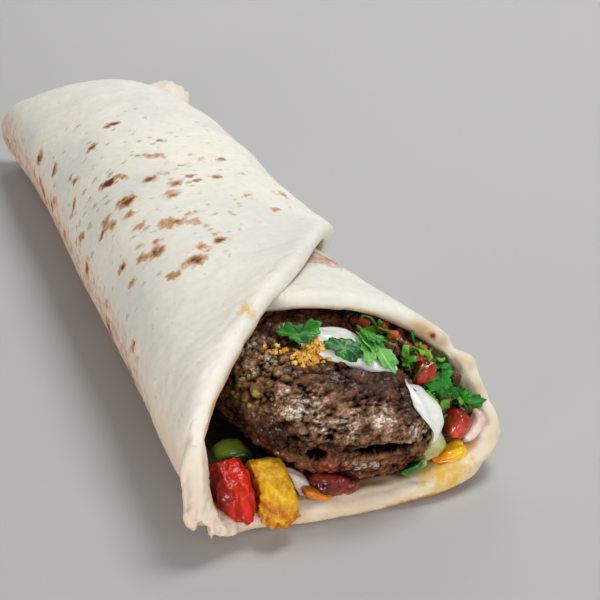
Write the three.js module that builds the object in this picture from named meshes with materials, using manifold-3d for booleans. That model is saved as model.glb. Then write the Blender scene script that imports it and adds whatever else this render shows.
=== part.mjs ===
// A kofta kebab wrap: a thick flatbread rolled round grilled minced meat, salad and yogurt.
// Millimetres, +Z up. The roll lies along Y with its open mouth towards -Y.
import * as THREE from "three";
import { ParametricGeometry } from "three/addons/geometries/ParametricGeometry.js";
import { mergeVertices } from "three/addons/utils/BufferGeometryUtils.js";
import Module from "manifold-3d";

const wasm = await Module();
wasm.setup();

// ---- Driving dimensions -------------------------------------------------------------------
const ROLL_LENGTH = 277;
const BREAD_THICKNESS = 6.4;
const LAP_GAP = 0.9; // air between the two laps of bread
const FILLING_GAP = 0.4; // between the bread and what it holds
const PIECE_GAP = 0.35; // between two pieces of the filling
const FLAP_START = -28; // degrees round the roll: the flap's free edge, low on the right
const TUCK_END = 478; // the sheet's other edge, tucked under the flap at the top left
const CLOSED_END_LIFT = 3.5; // how far the floor of the bread turns up at the closed end
const UNDERSIDE_SINK = 1; // how far the bread's underside has settled flat
const CORNER_LIFT = 3; // how far the flap's front corner stands off the lap below it
const TAIL_SPLAY = 16; // how far the inner lap's ragged tail swings out at the closed end

const rad = THREE.MathUtils.degToRad;
const { smoothstep, lerp } = THREE.MathUtils;

// A smooth curve through [place, value] pairs, level beyond its ends.
function through(...pairs) {
  const curve = new THREE.CubicInterpolant(
    pairs.map((pair) => pair[0]),
    pairs.map((pair) => pair[1]),
    1,
  );
  const first = pairs[0][0];
  const last = pairs.at(-1)[0];
  return (at) => curve.evaluate(THREE.MathUtils.clamp(at, first, last))[0];
}

// ---- The roll's section, by share of its length from mouth (0) to closed end (1) -----------
const halfWidth = through([0, 53.5], [0.1, 48.5], [0.22, 43], [0.5, 39.5], [0.8, 37], [0.93, 36.5], [1, 36.5]);
const height = through([0, 50], [0.15, 53], [0.4, 54], [0.7, 50], [0.88, 43], [0.96, 35], [1, 29]);
const drift = through([0, 11], [0.12, 4.5], [0.3, -1.5], [0.6, -7], [0.8, -10.5], [1, -16.5]);

// The power that squares off a superellipse: 1 is round, less is squarer.
const SIDE_POWER = 0.86;
const CROWN_POWER = 0.92;
const FLOOR_POWER = 0.34;
const WAIST = 0.42; // the widest level, as a share of the height

const bend = (value, power) => Math.sign(value) * Math.abs(value) ** power;

// A point of the section at an angle (0 right, 90 top, 180 left, 270 floor), a depth inside its outline.
function onSection(angle, depth, share) {
  const c = Math.cos(rad(angle));
  const s = Math.sin(rad(angle));
  const tall = height(share);
  const waist = WAIST * tall;
  const lift = CLOSED_END_LIFT * smoothstep(share, 0.92, 1);
  const z = s > 0
    ? waist + (tall - depth - waist) * bend(s, CROWN_POWER)
    : waist - (waist - depth - lift) * bend(-s, FLOOR_POWER);
  const x = drift(share) + (halfWidth(share) - depth) * bend(c, SIDE_POWER);
  return new THREE.Vector2(x, z);
}

// ---- Flatbread: one sheet, wound nearly one and a half turns --------------------------------
const COLUMNS = 54;
const ROWS = 18;

// Where the sheet's front and back edges lie along the roll, by angle round it.
const frontEdge = through(
  [FLAP_START, 126], [0, 110], [30, 95], [60, 75], [90, 49], [120, 28], [150, 12], [180, 0],
  [195, -3], [208, -3], [220, 1], [232, 3], [245, 1], [270, 0], [300, 1], [322, 5], [340, 10], [360, 19], [385, 29],
  [410, 36], [440, 41], [TUCK_END, 50],
);
const backEdge = through(
  [FLAP_START, 204], [0, 216], [30, 231], [60, 248], [90, 262], [120, 272], [150, 277], [180, 277],
  [225, 273], [270, 272], [320, 266], [350, 264], [370, 275], [390, 282], [410, 280], [430, 268], [TUCK_END, 256],
);

// The middle of the sheet's thickness lies this deep inside the outline: one lap down under the flap.
function midDepth(angle, share) {
  const covered = smoothstep(share, 0.1, 0.34);
  const lap = (BREAD_THICKNESS + LAP_GAP) * lerp(0.25, 1, covered);
  return BREAD_THICKNESS / 2 + lap * smoothstep(angle, 282, 338);
}

// Columns and rows crowd towards the edges, where the sheet's thickness rounds off.
const crowd = (t, pull) => t - (pull * Math.sin(2 * Math.PI * t)) / (2 * Math.PI);

function sheetPlace(across, along) {
  const angle = lerp(FLAP_START, TUCK_END, across);
  const y = lerp(frontEdge(angle), backEdge(angle), along);
  const share = y / ROLL_LENGTH;
  const place = onSection(angle, midDepth(angle, share), share);
  const tail = smoothstep(share, 0.88, 1) * smoothstep(angle, 335, 380) * (1 - smoothstep(angle, 400, 450));
  return new THREE.Vector3(place.x + TAIL_SPLAY * tail, y, place.y + 0.4 * TAIL_SPLAY * tail);
}

// Hand-stretched dough: soft swells all over, and a hollow behind the flap's front rim.
function swell(across, along, fromFront) {
  const angle = lerp(FLAP_START, TUCK_END, across);
  const waves = 0.55 * Math.sin(0.09 * angle + 7 * along) + 0.45 * Math.sin(21 * along - 0.05 * angle);
  const onFlap = smoothstep(angle, 20, 60) * (1 - smoothstep(angle, 185, 215));
  const rim = 1.1 * Math.exp(-(((fromFront - 6) / 5) ** 2)) - 1.5 * Math.exp(-(((fromFront - 17) / 6) ** 2));
  const corner = Math.exp(-(((angle - 52) / 30) ** 2)) * (1 - smoothstep(fromFront, 4, 30));
  return waves + onFlap * rim + CORNER_LIFT * corner;
}

const roundedEdge = (distance, reach) => {
  const t = THREE.MathUtils.clamp(distance / reach, 0, 1);
  return Math.sqrt(1 - (1 - t) ** 2);
};

function flatbreadGeometry() {
  const step = 0.002;
  const face = (u, v, target) => {
    const across = crowd(u, 0.8);
    const outside = v >= 0.5;
    const along = crowd(outside ? 2 - 2 * v : 2 * v, 0.93);
    const place = sheetPlace(across, along);
    const byAngle = sheetPlace(Math.min(across + step, 1), along)
      .sub(sheetPlace(Math.max(across - step, 0), along));
    const byLength = sheetPlace(across, Math.min(along + step, 1))
      .sub(sheetPlace(across, Math.max(along - step, 0)));
    const span = byLength.length() / (Math.min(along + step, 1) - Math.max(along - step, 0));
    const girth = byAngle.length() / (Math.min(across + step, 1) - Math.max(across - step, 0));
    const normal = byLength.cross(byAngle).normalize();
    const fromFront = along * span;
    const fromBack = (1 - along) * span;
    const fromSide = Math.min(across, 1 - across) * girth;
    const reach = BREAD_THICKNESS / 2;
    const rounding = roundedEdge(fromFront, reach) * roundedEdge(fromBack, reach)
      * roundedEdge(fromSide, reach);
    const half = (BREAD_THICKNESS / 2) * rounding * (outside ? 1 : -1);
    const shift = swell(across, along, fromFront) * smoothstep(place.z, 4, 16);
    target.copy(place).addScaledVector(normal, half + shift);
    if (outside) {
      target.z -= UNDERSIDE_SINK * rounding * (1 - smoothstep(target.z, UNDERSIDE_SINK, 5));
    }
    target.z = Math.max(target.z, 0);
  };
  return new ParametricGeometry(face, COLUMNS, 2 * ROWS);
}

// ---- Making pieces ----------------------------------------------------------------------------
const { Manifold, Mesh } = wasm;

function merged(geometry) {
  const bare = new THREE.BufferGeometry();
  bare.setAttribute("position", geometry.getAttribute("position"));
  bare.setIndex(geometry.index);
  const joined = mergeVertices(bare, 1e-3);
  joined.computeVertexNormals();
  return joined;
}

function toSolid(geometry) {
  const joined = merged(geometry);
  return new Manifold(new Mesh({
    numProp: 3,
    vertProperties: new Float32Array(joined.getAttribute("position").array),
    triVerts: new Uint32Array(joined.index.array),
  }));
}

function toGeometry(solid) {
  const mesh = solid.getMesh();
  const geometry = new THREE.BufferGeometry();
  geometry.setAttribute("position", new THREE.BufferAttribute(mesh.vertProperties, 3));
  geometry.setIndex(new THREE.BufferAttribute(mesh.triVerts, 1));
  return merged(geometry);
}

// A ball with its poles on Y, each point moved to place(share from -Y to +Y, degrees round Y, point).
function fleshed(columns, rows, place) {
  const ball = new THREE.SphereGeometry(1, columns, rows);
  const spots = ball.getAttribute("position");
  const spot = new THREE.Vector3();
  for (let i = 0; i < spots.count; i += 1) {
    spot.fromBufferAttribute(spots, i);
    const along = Math.acos(THREE.MathUtils.clamp(-spot.y, -1, 1)) / Math.PI;
    const degrees = THREE.MathUtils.radToDeg(Math.atan2(spot.z, spot.x));
    const angle = (Number(degrees.toFixed(5)) + 360) % 360; // both sides of the seam agree
    place(along, angle, spot);
    spots.setXYZ(i, spot.x, spot.y, spot.z);
  }
  return toSolid(ball);
}

// Uneven flesh: a smooth wobble between -1 and 1 that differs from one seed to the next.
const wobble = (x, y, z, seed) => (
  Math.sin(x + 1.3 * seed) * Math.sin(0.8 * y - 2.1 * seed) + 0.6 * Math.sin(1.7 * z + 0.9 * x + seed)
) / 1.6;

// A cut chunk: size across, along and up; squareness 1 is an ellipsoid, less is boxier; turned in degrees.
function chunk({ at, size, turn = [0, 0, 0], squareness = 0.55, rough = 0.08, seed = 1, fine = 10 }) {
  const turned = new THREE.Euler(rad(turn[0]), rad(turn[1]), rad(turn[2]), "ZYX");
  return (grow) => fleshed(fine, Math.round(fine * 0.7), (along, angle, spot) => {
    const lumpy = 1 + rough * wobble(3 * spot.x, 3 * spot.y, 3 * spot.z, seed);
    spot.set(
      bend(spot.x, squareness) * lumpy * (size[0] / 2 + grow),
      bend(spot.y, squareness) * lumpy * (size[1] / 2 + grow),
      bend(spot.z, squareness) * lumpy * (size[2] / 2 + grow),
    );
    spot.applyEuler(turned).add(new THREE.Vector3(...at));
  });
}

// ---- Kofta: one long patty of minced meat, from the mouth nearly to the closed end ------------
const KOFTA_FRONT = 3;
const KOFTA_BACK = 240;
const KOFTA_SKEW = 0.14; // the front end's right side reaches further out of the mouth
const koftaHalfWidth = through([0, 28], [30, 28.5], [80, 26.5], [150, 24.5], [KOFTA_BACK, 20]);
const koftaHalfHeight = through([0, 16], [25, 16.5], [80, 15], [150, 13], [KOFTA_BACK, 9]);
const koftaMiddle = through([0, 9.5], [25, 5], [60, -4], [150, -12.5], [KOFTA_BACK, -17]);
const koftaTilt = through([0, 13], [60, 7], [KOFTA_BACK, 0]); // degrees, right side down
const koftaLevel = through([0, 21.5], [30, 25.5], [80, 26.5], [150, 25.5], [KOFTA_BACK, 19.5]);

const kofta = (grow) => fleshed(24, 20, (along, angle, spot) => {
  const share = (1 - Math.cos(Math.PI * along)) / 2;
  const fullness = (1 - Math.abs(2 * share - 1) ** 20) ** 0.45;
  const y = lerp(KOFTA_FRONT - grow, KOFTA_BACK + grow, share);
  const lumpy = 1 + 0.045 * wobble(2 * spot.x, y / 9, 2 * spot.z, 3) * fullness;
  const x = bend(Math.cos(rad(angle)), 0.85) * fullness * (koftaHalfWidth(y) + grow) * lumpy;
  const z = bend(Math.sin(rad(angle)), 0.85) * fullness * (koftaHalfHeight(y) + grow) * lumpy;
  const tilt = rad(koftaTilt(y));
  const skew = KOFTA_SKEW * x * (1 - smoothstep(along, 0.2, 0.6));
  spot.set(
    koftaMiddle(y) + x * Math.cos(tilt) + z * Math.sin(tilt),
    y - skew,
    koftaLevel(y) - x * Math.sin(tilt) + z * Math.cos(tilt),
  );
});

// ---- Chopped salad: a heap that fills the rest of the roll ------------------------------------
const SALAD_FRONT = 9;
const SALAD_BACK = 245;
const SALAD_GAP = 2.1; // clears the bread's swells
const SALAD_LEVEL = 21; // the heap's middle
const SALAD_RECESS = 42; // how far its face stands back behind the kofta

// The bread's inner face lies this deep: one lap on the left and floor, two on the right and crown.
function innerDepth(angle, share) {
  const turn = (angle + 360) % 360;
  const covered = smoothstep(share, 0.1, 0.34);
  const lap = (BREAD_THICKNESS + LAP_GAP) * lerp(0.25, 1, covered);
  const doubled = turn > 200 ? smoothstep(turn, 276, 332) : 1 - smoothstep(turn, 121, 140);
  return BREAD_THICKNESS + lap * doubled + SALAD_GAP;
}

// The heap's face slopes back as it rises, and stands well back behind the kofta.
function saladFace(x, z) {
  const slope = 0.62 * Math.max(z - 12, 0);
  const behindKofta = SALAD_RECESS * (1 - smoothstep(x, 12, 27)) * smoothstep(z, 9, 17);
  return slope + behindKofta + 2 * wobble(x / 5, 0, z / 4, 7);
}

const saladHeap = () => fleshed(26, 18, (along, angle, spot) => {
  const front = Math.min(along / 0.3, 1);
  const tip = THREE.MathUtils.clamp((along - 0.8) / 0.2, 0, 1);
  const fullness = Math.sqrt(Math.sin(front * (Math.PI / 2)) * Math.max(Math.cos(tip * (Math.PI / 2)), 0));
  const straightY = lerp(SALAD_FRONT, SALAD_BACK, Math.max((along - 0.25) / 0.75, 0));
  const fading = 1 - smoothstep(along, 0.3, 0.8);
  let y = straightY;
  // The section narrows along the roll, so settle the place and its distance along together.
  for (let pass = 0; pass < 3; pass += 1) {
    const share = y / ROLL_LENGTH;
    const rim = onSection(angle, innerDepth(angle, share), share);
    spot.set(lerp(drift(share), rim.x, fullness), y, lerp(SALAD_LEVEL, rim.y, fullness));
    y = straightY + fading * saladFace(spot.x, spot.z);
  }
  spot.y = y;
});

// ---- Pieces lying at the mouth ----------------------------------------------------------------
const PIECES = [
  ["kofta", kofta, "mince"],
  ["tomato_wedge", chunk({ at: [-28, 8.6, 12.6], size: [12.5, 16.5, 14.5], turn: [24, 0, 6], seed: 2 }), "tomato"],
  ["potato_wedge", chunk({ at: [-17.5, 7, 11.5], size: [12, 19, 10.5], turn: [38, 0, 8], seed: 3 }), "potato"],
  ["roasted_tomato", chunk({ at: [1, 9.5, 10], size: [13, 10, 10], turn: [10, 20, 0], seed: 5 }), "roast"],
  ["onion_sliver", chunk({ at: [-8.5, 9, 10.2], size: [4, 6, 12.5], turn: [0, -38, 0], seed: 6 }), "onion"],
  ["orange_pepper_strip", chunk({ at: [-4.5, 5, 8.6], size: [10, 5, 2.6], turn: [0, 28, 0], seed: 7 }), "orange"],
  ["chilli_slice", chunk({ at: [-24.5, 21, 17.5], size: [12, 9, 5.5], turn: [0, 4, 0], seed: 4 }), "chilli"],
  ["green_pepper_piece", chunk({ at: [24, 8, 11.5], size: [9, 7, 7.5], turn: [0, -24, 0], seed: 8 }), "green"],
  ["yellow_pepper_piece", chunk({ at: [37.5, 9.5, 9.5], size: [8.5, 7, 5.5], turn: [0, -14, 0], seed: 9 }), "yellow"],
  ["onion_sliver_right", chunk({ at: [47, 13.5, 14], size: [3.5, 6, 11], turn: [0, 32, 0], seed: 10 }), "onion"],
  ["tomato_dice_front", chunk({ at: [42, 14, 16], size: [6.5, 8, 8], turn: [0, 24, 0], seed: 11 }), "tomato"],
  ["cucumber_piece", chunk({ at: [30, 12, 13.5], size: [9, 9, 9.5], turn: [0, -12, 0], seed: 12 }), "cucumber"],
  ["tomato_dice_back", chunk({ at: [35, 24, 29.5], size: [7, 8, 7.5], turn: [0, 14, 0], seed: 13 }), "tomato"],
  ["yogurt_side", chunk({ at: [28, 14, 25], size: [13, 15, 22], turn: [-24, -24, 0], squareness: 0.85,
    rough: 0.05, seed: 14, fine: 14 }), "yogurt"],
  ["yogurt_top", chunk({ at: [14.5, 28, 41.5], size: [22, 19, 8], turn: [-6, 8, 0], squareness: 0.85,
    rough: 0.05, seed: 15, fine: 14 }), "yogurt"],
];

const LOOKS = {
  bread: { color: 0xe9dfcf, roughness: 0.75, metalness: 0 },
  mince: { color: 0x5a3a2c, roughness: 0.5, metalness: 0 },
  tomato: { color: 0xc8240f, roughness: 0.25, metalness: 0 },
  potato: { color: 0xdca72b, roughness: 0.5, metalness: 0 },
  roast: { color: 0x7a1a0c, roughness: 0.3, metalness: 0 },
  onion: { color: 0xe9d4cc, roughness: 0.35, metalness: 0 },
  orange: { color: 0xe08a1e, roughness: 0.3, metalness: 0 },
  chilli: { color: 0x5d7a1c, roughness: 0.35, metalness: 0 },
  green: { color: 0x4b8a28, roughness: 0.35, metalness: 0 },
  yellow: { color: 0xf0b81c, roughness: 0.3, metalness: 0 },
  cucumber: { color: 0xc6cc8c, roughness: 0.35, metalness: 0 },
  yogurt: { color: 0xf1f3ee, roughness: 0.3, metalness: 0 },
  salad: { color: 0x6f8a3a, roughness: 0.5, metalness: 0 },
};

const group = new THREE.Group();

function addPiece(name, geometry, look) {
  const mesh = new THREE.Mesh(geometry, new THREE.MeshStandardMaterial(LOOKS[look]));
  mesh.name = name;
  group.add(mesh);
}

const biggest = (solid) => solid.decompose()
  .reduce((best, part) => (part.volume() > best.volume() ? part : best));

const bread = toSolid(flatbreadGeometry());
addPiece("flatbread", merged(flatbreadGeometry()), "bread");

// The bread with a film of air round it, for trimming what rests against it.
const sides = [[1, 0, 0], [-1, 0, 0], [0, 1, 0], [0, -1, 0], [0, 0, 1], [0, 0, -1]];
const airyBread = Manifold.union([
  bread,
  ...sides.map((side) => bread.translate(side.map((step) => step * FILLING_GAP))),
]);

// Each piece gives way to those named before it.
const taken = [];
for (const [name, make, look] of PIECES) {
  let solid = make(0).subtract(airyBread);
  for (const other of taken) {
    solid = solid.subtract(other);
  }
  addPiece(name, toGeometry(biggest(solid)), look);
  taken.push(make(PIECE_GAP));
}

let salad = saladHeap();
for (const other of taken) {
  salad = salad.subtract(other);
}
addPiece("chopped_salad", toGeometry(biggest(salad)), "salad");

// The frame's origin is the middle of the underside.
const box = new THREE.Box3().setFromObject(group);
group.position.set(-(box.min.x + box.max.x) / 2, -(box.min.y + box.max.y) / 2, -box.min.z);

export default group;
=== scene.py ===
"""The looks of a kofta kebab wrap: soft flatbread round grilled minced meat, salad and yogurt."""
import math
import random

import bmesh
import bpy
import numpy as np
from mathutils import Matrix, Vector, kdtree, noise
from mathutils.bvhtree import BVHTree


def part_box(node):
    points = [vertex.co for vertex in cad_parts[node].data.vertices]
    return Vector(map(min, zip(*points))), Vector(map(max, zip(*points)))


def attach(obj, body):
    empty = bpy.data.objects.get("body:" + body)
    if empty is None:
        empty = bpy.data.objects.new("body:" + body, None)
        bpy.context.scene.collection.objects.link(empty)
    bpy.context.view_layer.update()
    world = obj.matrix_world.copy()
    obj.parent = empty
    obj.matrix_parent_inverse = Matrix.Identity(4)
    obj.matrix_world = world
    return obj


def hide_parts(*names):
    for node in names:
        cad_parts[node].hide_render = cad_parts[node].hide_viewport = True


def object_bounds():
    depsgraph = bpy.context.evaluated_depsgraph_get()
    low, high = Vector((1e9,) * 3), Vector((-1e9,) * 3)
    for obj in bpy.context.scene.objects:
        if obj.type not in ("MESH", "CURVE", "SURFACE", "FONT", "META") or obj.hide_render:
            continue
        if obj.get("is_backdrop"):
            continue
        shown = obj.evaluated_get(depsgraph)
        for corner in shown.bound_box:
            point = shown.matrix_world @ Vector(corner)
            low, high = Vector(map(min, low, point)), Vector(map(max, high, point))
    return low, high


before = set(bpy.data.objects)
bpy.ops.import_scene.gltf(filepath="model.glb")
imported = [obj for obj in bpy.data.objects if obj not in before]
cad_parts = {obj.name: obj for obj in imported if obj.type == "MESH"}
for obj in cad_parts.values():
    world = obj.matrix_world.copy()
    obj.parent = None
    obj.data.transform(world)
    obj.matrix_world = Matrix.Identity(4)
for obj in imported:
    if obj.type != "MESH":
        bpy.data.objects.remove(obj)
cad_low, cad_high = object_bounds()
MM = 0.001


# ---- Working on meshes ------------------------------------------------------------------------
def linear(colour):
    """An sRGB hex colour as the linear colour a shader takes."""
    parts = [int(colour[i:i + 2], 16) / 255 for i in (0, 2, 4)]
    return tuple(c / 12.92 if c <= 0.04045 else ((c + 0.055) / 1.055) ** 2.4 for c in parts) + (1.0,)


def select_only(piece):
    bpy.ops.object.select_all(action="DESELECT")
    piece.select_set(True)
    bpy.context.view_layer.objects.active = piece


def finish_with(piece, kind, **settings):
    """Adds a modifier with its settings and applies it."""
    select_only(piece)
    modifier = piece.modifiers.new(kind.title(), kind)
    for name, value in settings.items():
        setattr(modifier, name, value)
    bpy.ops.object.modifier_apply(modifier=modifier.name)


def merged_copy(node_name, name):
    """A merged copy of a CAD solid, to be worked on."""
    piece = bpy.data.objects.new(name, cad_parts[node_name].data.copy())
    bpy.context.collection.objects.link(piece)
    piece.data.materials.clear()
    select_only(piece)
    bpy.ops.mesh.customdata_custom_splitnormals_clear()
    bpy.ops.object.mode_set(mode="EDIT")
    bpy.ops.mesh.select_all(action="SELECT")
    bpy.ops.mesh.remove_doubles(threshold=0.01 * MM)
    bpy.ops.object.mode_set(mode="OBJECT")
    return piece


def new_shape(name):
    """The object that an add operator has just made, named."""
    piece = bpy.context.object
    piece.name = name
    piece.data.name = name
    return piece


def subdivide(piece, chosen, cuts=1):
    """Cuts the chosen faces finer; chosen is one truth value a face."""
    select_only(piece)
    bpy.ops.object.mode_set(mode="EDIT")
    bpy.ops.mesh.select_mode(type="FACE")
    bpy.ops.mesh.select_all(action="DESELECT")
    bpy.ops.object.mode_set(mode="OBJECT")
    piece.data.polygons.foreach_set("select", np.ascontiguousarray(chosen, dtype=bool))
    bpy.ops.object.mode_set(mode="EDIT")
    bpy.ops.mesh.subdivide(number_cuts=cuts, smoothness=0)
    bpy.ops.object.mode_set(mode="OBJECT")


def face_middles(piece):
    middles = np.empty(len(piece.data.polygons) * 3)
    piece.data.polygons.foreach_get("center", middles)
    return middles.reshape(-1, 3)


def points_of(piece):
    points = np.empty(len(piece.data.vertices) * 3)
    piece.data.vertices.foreach_get("co", points)
    return points.reshape(-1, 3)


def normals_of(piece):
    normals = np.empty(len(piece.data.vertices) * 3)
    piece.data.vertices.foreach_get("normal", normals)
    return normals.reshape(-1, 3)


def move_points(piece, points):
    piece.data.vertices.foreach_set("co", np.ascontiguousarray(points).ravel())
    piece.data.update()


def paint(piece, name, values):
    """Keeps one number a vertex for the material to read."""
    layer = piece.data.attributes.new(name, "FLOAT", "POINT")
    layer.data.foreach_set("value", np.ascontiguousarray(values, dtype=np.float32))


def step(values, low, high):
    t = np.clip((values - low) / (high - low), 0, 1)
    return t * t * (3 - 2 * t)


def spot(points, place, size):
    """1 at a place from the mouth, fading to nothing about one size, in millimetres, away."""
    return np.exp(-(((points - np.array(from_mouth(*place))) / (np.array(size) * MM)) ** 2).sum(1))


def patches(points, *places):
    """The strongest of some soft spots, each a place and a size."""
    return np.max([spot(points, place, size) for place, size in places], 0)


def bumps(points, size, seed, stretch=(1, 1, 1), octaves=1):
    """Smooth noise, about -1 to 1, its bumps about size across."""
    away = Vector((seed * 3.71, seed * 1.93, seed * 5.37))
    scaled = points / (np.array(stretch) * size)
    return np.array([noise.fractal(Vector(p) + away, 1.0, 2.0, octaves) for p in scaled])


def grains(points, size, seed, stretch=(1, 1, 1)):
    """Rounded grains about size across: 1 in a grain's middle, 0 in the crevice between two."""
    away = Vector((seed * 2.13, seed * 4.71, seed * 1.37))
    scaled = points / (np.array(stretch) * size)
    near = np.array([noise.voronoi(Vector(p) + away)[0][:2] for p in scaled])
    return np.clip((near[:, 1] - near[:, 0]) * 1.6, 0, 1)


# ---- Shader building ----------------------------------------------------------------------------
def feed(made, inputs):
    """Sets a node's sockets, each to a value, another node's output, or a node for its first output."""
    for socket, value in inputs.items():
        if isinstance(value, bpy.types.Node):
            value = value.outputs[0]
        if isinstance(value, bpy.types.NodeSocket):
            made.id_data.links.new(value, made.inputs[socket])
        else:
            made.inputs[socket].default_value = value


def node(tree, kind, inputs=None, **settings):
    """Adds a shader node with its settings and feeds its sockets."""
    made = tree.nodes.new("ShaderNode" + kind)
    for name, value in settings.items():
        setattr(made, name, value)
    feed(made, inputs or {})
    return made


def new_material(name, **shader):
    """A material with its main shader set; returns the material, its tree and that shader."""
    material = bpy.data.materials.new(name)
    material.use_nodes = True
    tree = material.node_tree
    main = tree.nodes["Principled BSDF"]
    feed(main, {socket.replace("_", " "): value for socket, value in shader.items()})
    return material, tree, main


def stand_for(piece, nodes, material):
    """Dresses a finished piece, lets it ride and hides the CAD nodes it stands for."""
    piece.data.materials.clear()
    piece.data.materials.append(material)
    select_only(piece)
    bpy.ops.object.shade_smooth()
    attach(piece, "root")
    if nodes:
        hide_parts(*nodes)


MOUTH = Vector(((cad_low.x + cad_high.x) / 2, cad_low.y, 0))


def from_mouth(across, back, up):
    """A place in millimetres: across from the mouth's middle, back from its lip, up from the floor."""
    return MOUTH + Vector((across, back, up)) * MM


# ---- Flatbread -----------------------------------------------------------------------------------
def bread_material():
    """Leavened flatbread off a hot plate: matt, floury, off-white, browned where it blistered."""
    material, tree, main = new_material("flatbread_baked", Roughness=0.6, IOR=1.45, Subsurface_Weight=0.12,
                                        Subsurface_Radius=(0.006, 0.004, 0.002), Subsurface_Scale=0.5)
    place = node(tree, "TexCoord")
    solid = place.outputs["Object"]
    given = {name: node(tree, "Attribute", attribute_name=name).outputs["Fac"]
             for name in ("creamy", "rosy", "soaked", "browned", "charred", "toasted", "juicy")}
    # Cloudy shifts of colour about 30 mm across, and fine floury mottling of 2 mm.
    cloud = node(tree, "TexNoise", {"Vector": solid, "Scale": 30.0, "Detail": 3.0})
    cloud = node(tree, "MapRange", {"Value": cloud, 1: 0.38, 2: 0.62})
    fleck = node(tree, "TexNoise", {"Vector": solid, "Scale": 420.0, "Detail": 4.0})
    fleck = node(tree, "MapRange", {"Value": fleck, 1: 0.4, 2: 0.8, 3: 0.0, 4: 0.3})
    # Ragged edges for every mark: noise 3 mm across, from -1 to 1.
    ragged = node(tree, "TexNoise", {"Vector": solid, "Scale": 330.0, "Detail": 4.0,
                  "Roughness": 0.6})
    ragged = node(tree, "MapRange", {"Value": ragged, 1: 0.3, 2: 0.7, 3: -1.0, 4: 1.0})
    # The unrolled sheet, shaken a millimetre so that no two blisters have one shape.
    shake = node(tree, "TexNoise", {"Vector": solid, "Scale": 260.0, "Detail": 3.0}).outputs["Color"]
    shake = node(tree, "VectorMath", {0: shake, 1: (0.0032, 0.0032, 0.0)},
                 operation="MULTIPLY")
    shaken = node(tree, "VectorMath", {0: place.outputs["UV"], 1: shake},
                  operation="ADD")
    across = node(tree, "Mapping", {"Vector": shaken, "Scale": (0.5, 1.0, 1.0)})
    # Grey-olive pores 1 mm across and freckles of browning every 7 mm, both longer round the roll.
    marks = []
    for per_metre, luck_from, reach, soft in ((300.0, 0.45, 0.38, 0.12), (125.0, 0.42, 0.42, 0.14)):
        cells = node(tree, "TexVoronoi", {"Vector": across, "Scale": per_metre},
                     voronoi_dimensions="2D")
        chance = node(tree, "SeparateColor", {0: cells.outputs["Color"]})
        size = node(tree, "MapRange", {"Value": chance, 1: luck_from, 2: 1.0,
                    3: -0.12, 4: reach})
        size = node(tree, "Math", {0: size, 1: given["browned"]}, operation="MULTIPLY")
        inside = node(tree, "Math", {0: size, 1: cells.outputs["Distance"]},
                      operation="SUBTRACT")
        inside = node(tree, "Math", {0: ragged, 1: soft, 2: inside},
                      operation="MULTIPLY_ADD")
        marks.append((inside, chance.outputs[1]))
    pore = node(tree, "MapRange", {"Value": marks[0][0], 1: 0.0, 2: 0.25, 4: 0.6})
    # Char marks: the painted patches and the freckles, a brown halo round a dark core.
    patch = node(tree, "Math", {0: ragged, 1: 0.24, 2: given["charred"]},
                 operation="MULTIPLY_ADD")
    freckle = node(tree, "MapRange", {"Value": marks[1][0], 1: 0.0, 2: 0.3, 3: 0.1, 4: 0.95})
    strength = node(tree, "MapRange", {"Value": marks[1][1], 3: 0.5, 4: 1.0})
    for share in (strength, given["browned"]):
        freckle = node(tree, "Math", {0: freckle, 1: share}, operation="MULTIPLY")
    brown = node(tree, "Math", {0: patch, 1: freckle}, operation="MAXIMUM")
    halo = node(tree, "MapRange", {"Value": brown, 1: 0.18, 2: 0.52, 4: 0.85},
                interpolation_type="SMOOTHSTEP")
    core = node(tree, "MapRange", {"Value": brown, 1: 0.46, 2: 0.85},
                interpolation_type="SMOOTHSTEP")
    # The toasted edge and the yellow juice, ragged too.
    ragged_shares = []
    for name, spread, most in (("toasted", 0.3, 0.85), ("juicy", 0.35, 0.9)):
        share = node(tree, "Math", {0: ragged, 1: spread, 2: given[name]},
                     operation="MULTIPLY_ADD")
        share = node(tree, "MapRange", {"Value": share, 1: 0.25, 2: 0.85, 4: most})
        ragged_shares.append(share)
    # Among the colour layers, the tan inside the roll near the mouth is painted shade together with real
    # sauce stains.
    base = linear("F7F3E8")
    for share, colour in ((cloud, "E8E8E1"), (fleck, "D8CDB8"), (given["creamy"], "F6EED6"),
                          (given["rosy"], "E2C0A2"), (given["soaked"], "C29346"), (pore, "9A8A5E"),
                          (halo, "C68A46"), (core, "5C290C"), (ragged_shares[0], "A85A20"),
                          (ragged_shares[1], "E0B020")):
        base = node(tree, "Mix", {0: share, 6: base, 7: linear(colour)},
                    data_type="RGBA").outputs[2]
    # Floury skin: soft dimples 5 mm across and a fine 0.8 mm tooth.
    dimple = node(tree, "TexNoise", {"Vector": solid, "Scale": 190.0, "Detail": 3.0})
    tooth = node(tree, "TexNoise", {"Vector": solid, "Scale": 1100.0, "Detail": 2.0})
    skin = node(tree, "Math", {0: tooth, 1: 0.22, 2: dimple}, operation="MULTIPLY_ADD")
    skin = node(tree, "Math", {0: pore, 1: -0.3, 2: skin}, operation="MULTIPLY_ADD")
    relief = node(tree, "Bump", {"Strength": 0.6, "Distance": 0.5 * MM, "Height": skin})
    feed(main, {"Base Color": base, "Normal": relief})
    return material


SHARP_FOLD = math.radians(48)  # more than this between two faces, and it is the cut edge


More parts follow.
